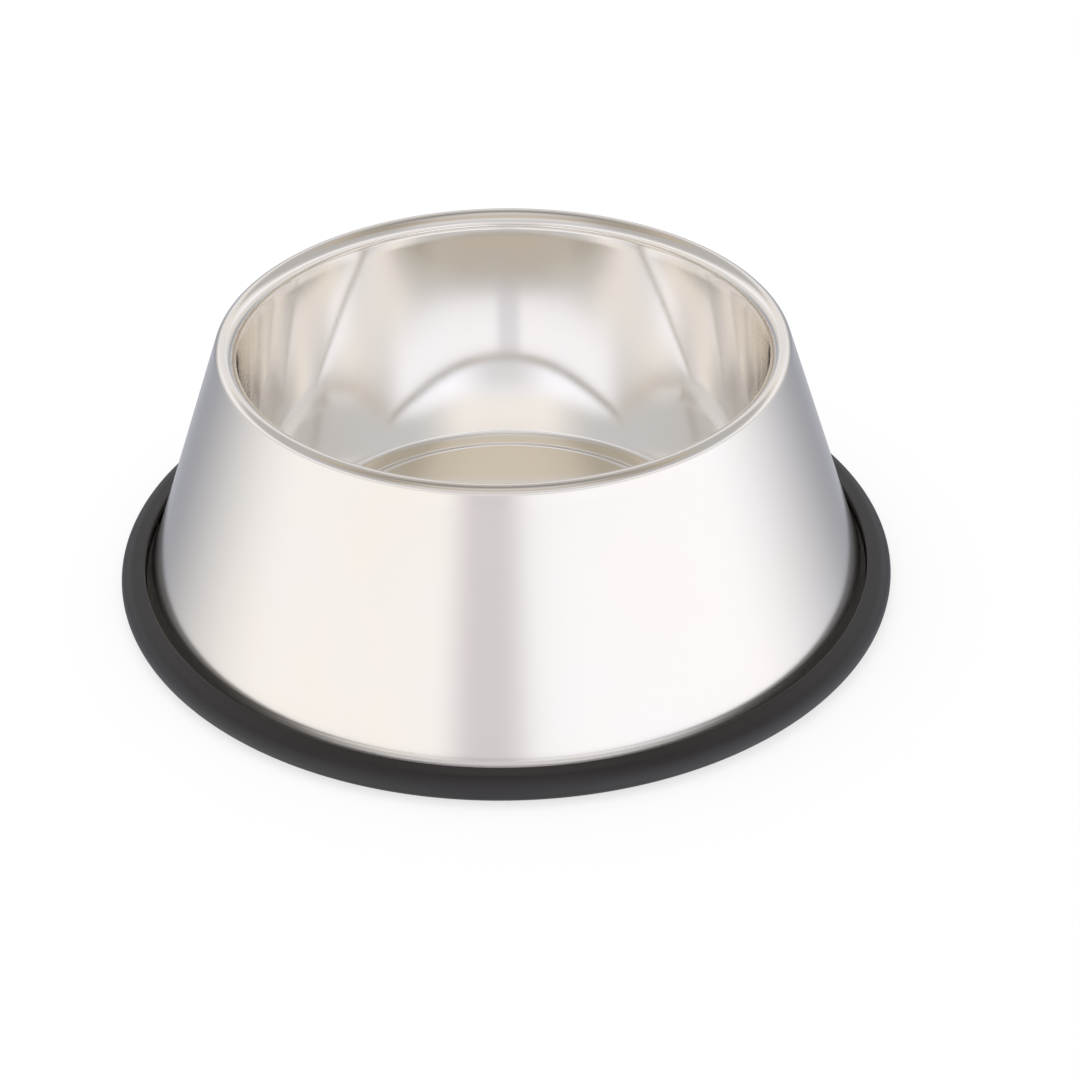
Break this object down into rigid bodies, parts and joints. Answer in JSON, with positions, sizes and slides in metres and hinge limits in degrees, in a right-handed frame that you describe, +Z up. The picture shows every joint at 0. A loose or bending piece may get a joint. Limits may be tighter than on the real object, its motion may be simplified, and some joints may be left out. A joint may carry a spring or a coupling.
{
  "type": "dog bowl",
  "caption": "Round stainless dog bowl with a deep feeding pan folded at the rim into a wide conical non-tip skirt, standing on a pull-off rubber ring.",
  "frame": {"origin": "centre of the base, on the floor", "axes": "+Z up along the bowl's axis of revolution; X and Y are equal"},
  "size_m": [0.28, 0.2798, 0.0948],
  "materials": {
    "pan_steel": "polished",
    "skirt_steel": "satin",
    "ring_rubber": "satin"
  },
  "bodies": {
    "ring": {"rubber_ring": "ring_rubber"},
    "bowl": {"feeding_pan": "pan_steel", "outer_skirt": "skirt_steel"}
  },
  "joints": [
    {"name": "ring_pull_off", "type": "slide", "parent": "ring", "child": "bowl", "axis": [0, 0, 1], "range_m": [0, 0.03], "deforming": ["rubber_ring"]}
  ]
}
